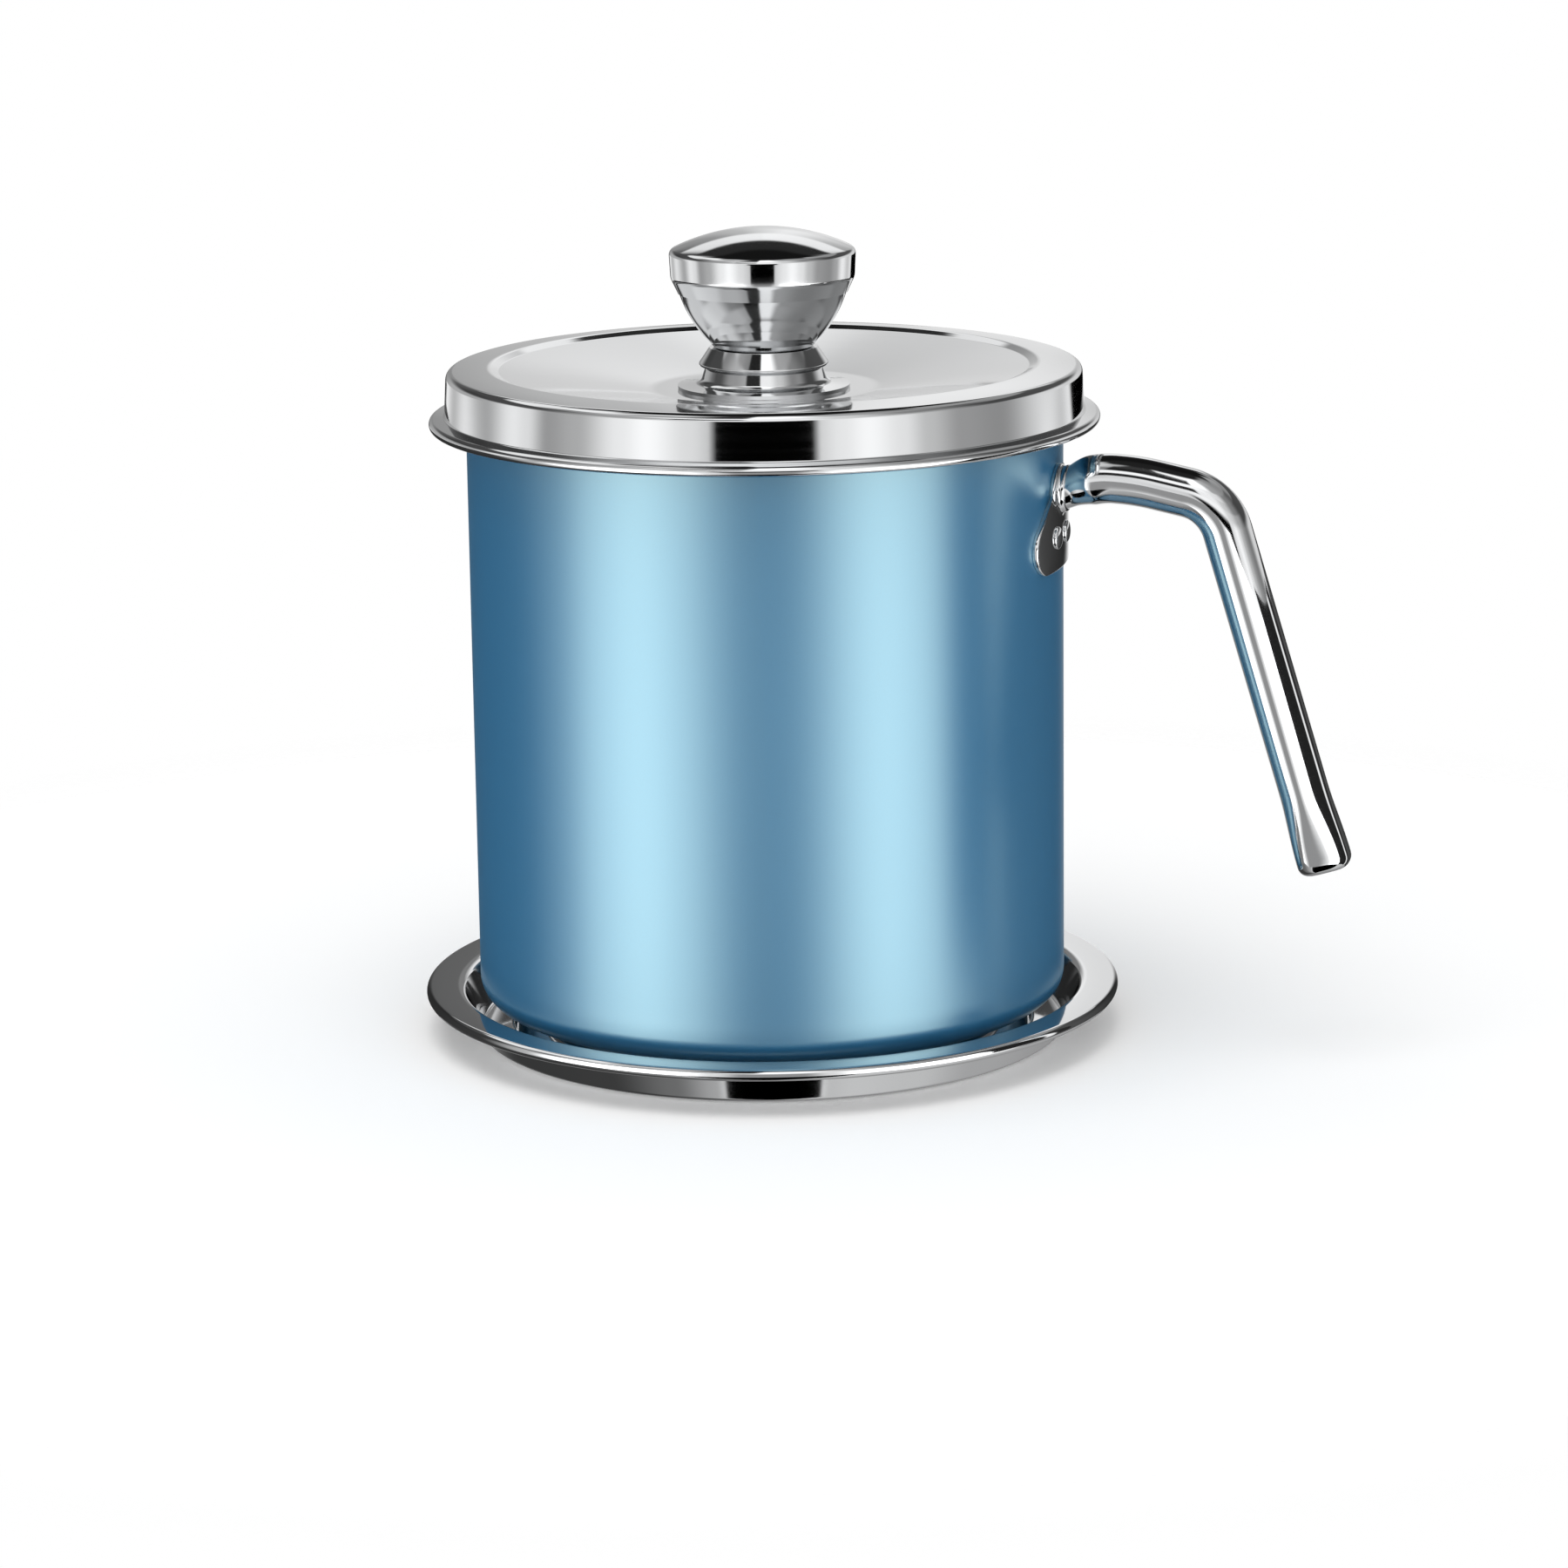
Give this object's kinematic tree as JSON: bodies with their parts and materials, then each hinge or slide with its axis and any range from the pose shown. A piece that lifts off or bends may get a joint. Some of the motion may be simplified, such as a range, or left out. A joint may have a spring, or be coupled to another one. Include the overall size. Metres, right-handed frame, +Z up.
{
  "type": "grease container",
  "caption": "Round lidded pot for bacon grease with a bent tube handle, a drop-in strainer, a knobbed cap lid and a drip tray that it stands in.",
  "frame": {"origin": "centre of the tray's foot ring, on the surface that the tray stands on", "axes": "+Z up, +X along the handle, +Y across the handle"},
  "size_m": [0.2104, 0.157, 0.1808],
  "materials": {
    "mirror_steel": "mirror-polished stainless steel",
    "blue_coat": "satin metallic blue coating on stainless steel",
    "satin_steel": "satin stainless steel"
  },
  "bodies": {
    "tray": {"tray": "mirror_steel"},
    "pot": {"pot_shell": "blue_coat", "handle_bracket": "mirror_steel", "bracket_rivets": "mirror_steel", "handle_tube": "mirror_steel"},
    "strainer": {"strainer_cup": "satin_steel", "strainer_mesh": "satin_steel", "mesh_ring": "satin_steel"},
    "lid": {"lid_shell": "mirror_steel", "knob_base": "mirror_steel", "knob_collar": "mirror_steel", "knob_body": "mirror_steel", "knob_cap": "mirror_steel", "knob_insert": "satin_steel", "screw_washer": "satin_steel", "knob_screw": "satin_steel"}
  },
  "joints": [
    {"name": "pot_lift", "type": "slide", "parent": "tray", "child": "pot", "axis": [0, 0, 1], "range_m": [0, 0.05]},
    {"name": "strainer_lift", "type": "slide", "parent": "pot", "child": "strainer", "axis": [0, 0, 1], "range_m": [0, 0.06]},
    {"name": "lid_lift", "type": "slide", "parent": "strainer", "child": "lid", "axis": [0, 0, 1], "range_m": [0, 0.08]}
  ]
}
